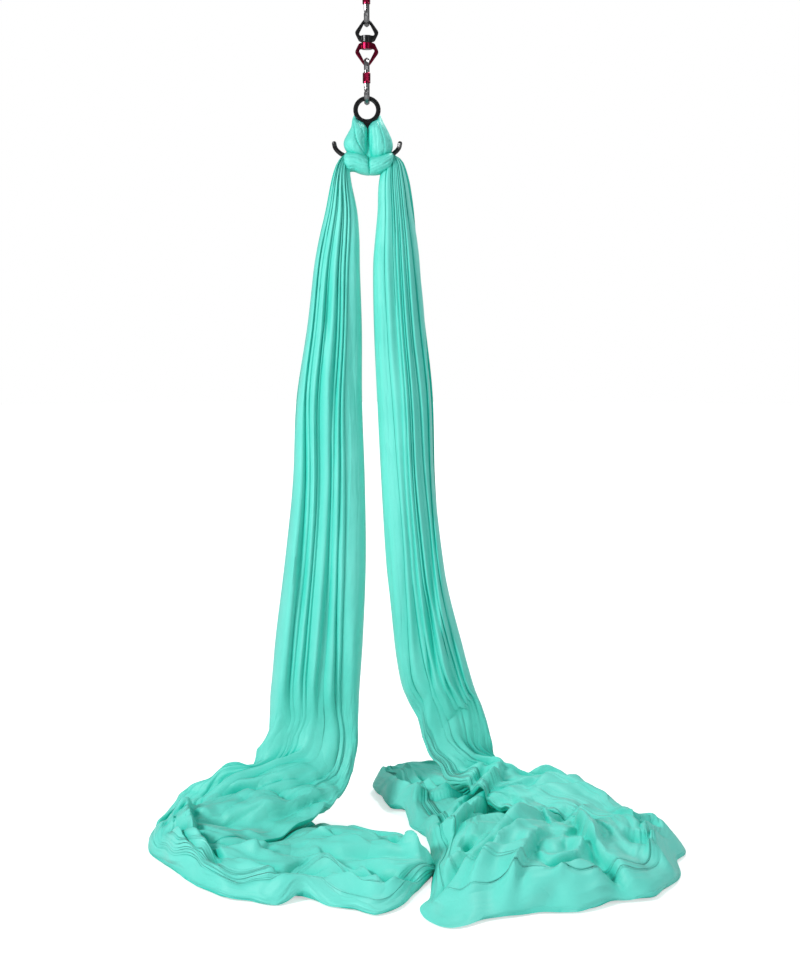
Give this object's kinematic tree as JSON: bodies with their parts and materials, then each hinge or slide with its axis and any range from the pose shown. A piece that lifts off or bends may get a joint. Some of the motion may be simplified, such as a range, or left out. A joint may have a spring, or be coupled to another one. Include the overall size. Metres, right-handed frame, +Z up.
{
  "type": "aerial yoga hammock",
  "caption": "Soft gathered fabric hammock tied on a figure-eight descender, hung from a ball-bearing swivel between screw-gate carabiners.",
  "frame": {"origin": "inside top of the upper carabiner, where the anchor's ring bears on it", "axes": "+Z up along the load line, +X to the right across the swivel's eyes, -Y towards the viewer and the carabiners' gates"},
  "size_m": [1.218, 0.91, 1.958],
  "materials": {
    "polished_alloy": "polished",
    "red_anodised": "glossy anodised",
    "black_anodised": "satin anodised",
    "bearing_steel": "ground",
    "seal_rubber": "matte",
    "mint_tricot": "soft sheen"
  },
  "bodies": {
    "upper_carabiner": {"upper_carabiner_frame": "polished_alloy", "upper_hinge_pin": "bearing_steel"},
    "upper_gate": {"upper_gate": "polished_alloy", "upper_latch_pin": "bearing_steel", "upper_gate_plunger": "bearing_steel", "upper_gate_spring": "bearing_steel"},
    "upper_sleeve": {"upper_screw_sleeve": "red_anodised"},
    "swivel_top": {"swivel_top_eye": "black_anodised", "swivel_lower_race": "bearing_steel", "swivel_seal": "seal_rubber", "swivel_ball_01": "bearing_steel", "swivel_ball_02": "bearing_steel", "swivel_ball_03": "bearing_steel", "swivel_ball_04": "bearing_steel", "swivel_ball_05": "bearing_steel", "swivel_ball_06": "bearing_steel", "swivel_ball_07": "bearing_steel", "swivel_ball_08": "bearing_steel", "swivel_ball_09": "bearing_steel", "swivel_ball_10": "bearing_steel"},
    "swivel_bottom": {"swivel_bottom_eye": "red_anodised", "swivel_bolt": "bearing_steel", "swivel_nut": "bearing_steel", "swivel_upper_race": "bearing_steel"},
    "lower_carabiner": {"lower_carabiner_frame": "polished_alloy", "lower_hinge_pin": "bearing_steel"},
    "lower_gate": {"lower_gate": "polished_alloy", "lower_latch_pin": "bearing_steel", "lower_gate_plunger": "bearing_steel", "lower_gate_spring": "bearing_steel"},
    "lower_sleeve": {"lower_screw_sleeve": "red_anodised"},
    "eight": {"figure_8": "black_anodised", "fabric_wrap": "mint_tricot"},
    "fabric": {"left_tail": "mint_tricot", "right_tail": "mint_tricot", "left_pool": "mint_tricot", "right_pool": "mint_tricot"}
  },
  "joints": [
    {"name": "upper_gate_hinge", "type": "hinge", "parent": "upper_carabiner", "child": "upper_gate", "pos_m": [0, -0.034, -0.065], "axis": [1, 0, 0], "range_deg": [-28, 0], "stiffness_Nm_per_rad": 0.02, "springref_deg": 20.05},
    {"name": "upper_sleeve_slide", "type": "slide", "parent": "upper_gate", "child": "upper_sleeve", "axis": [0, 0, 1], "range_m": [0, 0.0108]},
    {"name": "swivel_sway", "type": "hinge", "parent": "upper_carabiner", "child": "swivel_top", "pos_m": [0, 0, -0.092], "axis": [0, 1, 0], "range_deg": [-15, 15]},
    {"name": "swivel_spin", "type": "hinge", "parent": "swivel_top", "child": "swivel_bottom", "pos_m": [0, 0, -0.13045], "axis": [0, 0, 1], "continuous": true},
    {"name": "carabiner_rock", "type": "hinge", "parent": "swivel_bottom", "child": "lower_carabiner", "pos_m": [0, 0, -0.17845], "axis": [1, 0, 0], "range_deg": [-10, 10]},
    {"name": "lower_gate_hinge", "type": "hinge", "parent": "lower_carabiner", "child": "lower_gate", "pos_m": [0, -0.034, -0.2385], "axis": [1, 0, 0], "range_deg": [-28, 0], "stiffness_Nm_per_rad": 0.02, "springref_deg": 20.05},
    {"name": "lower_sleeve_slide", "type": "slide", "parent": "lower_gate", "child": "lower_sleeve", "axis": [0, 0, 1], "range_m": [0, 0.0108]},
    {"name": "ring_sway", "type": "hinge", "parent": "lower_carabiner", "child": "eight", "pos_m": [0, 0, -0.2655], "axis": [0, 1, 0], "range_deg": [-15, 15]},
    {"name": "fabric_hang", "type": "hinge", "parent": "eight", "child": "fabric", "pos_m": [0, 0, -0.4067], "axis": [1, 0, 0], "range_deg": [-10, 10]}
  ],
  "couplings": [
    {"joint": "ring_sway", "follows": "swivel_sway", "ratio": -1},
    {"joint": "fabric_hang", "follows": "carabiner_rock", "ratio": -1}
  ]
}
